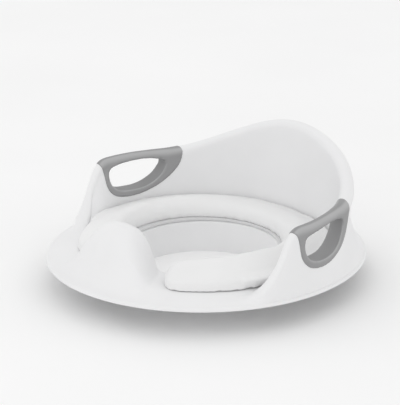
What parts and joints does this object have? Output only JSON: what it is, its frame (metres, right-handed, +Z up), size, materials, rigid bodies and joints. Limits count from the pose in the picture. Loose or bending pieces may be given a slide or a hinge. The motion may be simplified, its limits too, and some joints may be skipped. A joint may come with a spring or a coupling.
{
  "type": "potty training seat",
  "caption": "Child's toilet training seat: a moulded shell with scooped backrest, arms with soft handle grips, splash guard, hanging skirt and a soft horseshoe cushion on a clip-in plate.",
  "frame": {"origin": "centre of the bounding box in plan, at the height of the skirt's bottom edge", "axes": "+Z up, -Y the child's front, +X the child's left, and the object is the same on both sides of X = 0"},
  "size_m": [0.324, 0.343, 0.143],
  "materials": {
    "white_shell": "satin",
    "grey_grip": "matte",
    "plate": "satin",
    "cushion": "soft satin",
    "pad": "matte"
  },
  "bodies": {
    "root": {"seat_shell": "white_shell", "left_grip": "grey_grip", "right_grip": "grey_grip", "cushion_plate": "plate", "seat_cushion": "cushion", "pad_front_left": "pad", "pad_front_right": "pad", "pad_back_left": "pad", "pad_back_right": "pad"}
  },
  "joints": []
}
